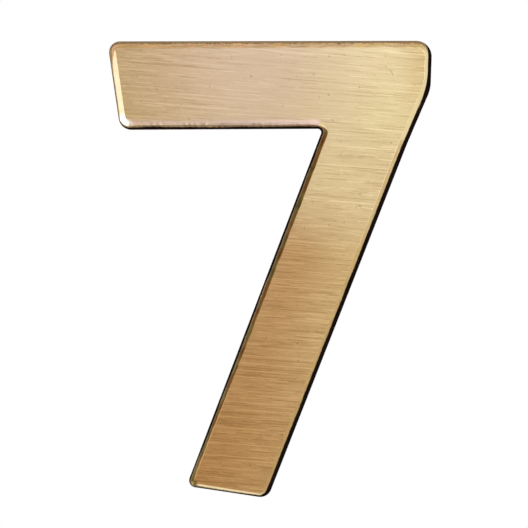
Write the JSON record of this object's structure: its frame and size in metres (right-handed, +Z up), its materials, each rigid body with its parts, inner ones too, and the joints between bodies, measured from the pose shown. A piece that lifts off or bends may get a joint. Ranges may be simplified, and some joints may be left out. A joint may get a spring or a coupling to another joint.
{
  "type": "house number",
  "caption": "Brass figure seven for a door or wall: a solid bevelled bar with a brushed face, dark tapered sides and a flat back tapped for hidden studs.",
  "frame": {"origin": "mouth of the upper stud hole, on the plane of the flat back", "axes": "+Z up, +X to the right as the figure is read, +Y out of the back and into the wall, so the face looks along -Y"},
  "size_m": [0.0496, 0.0055, 0.0701],
  "materials": {
    "aged_brass": "brushed face and worn bevel, sides and back left dark from ageing"
  },
  "bodies": {
    "root": {"numeral_seven": "aged_brass"}
  },
  "joints": []
}
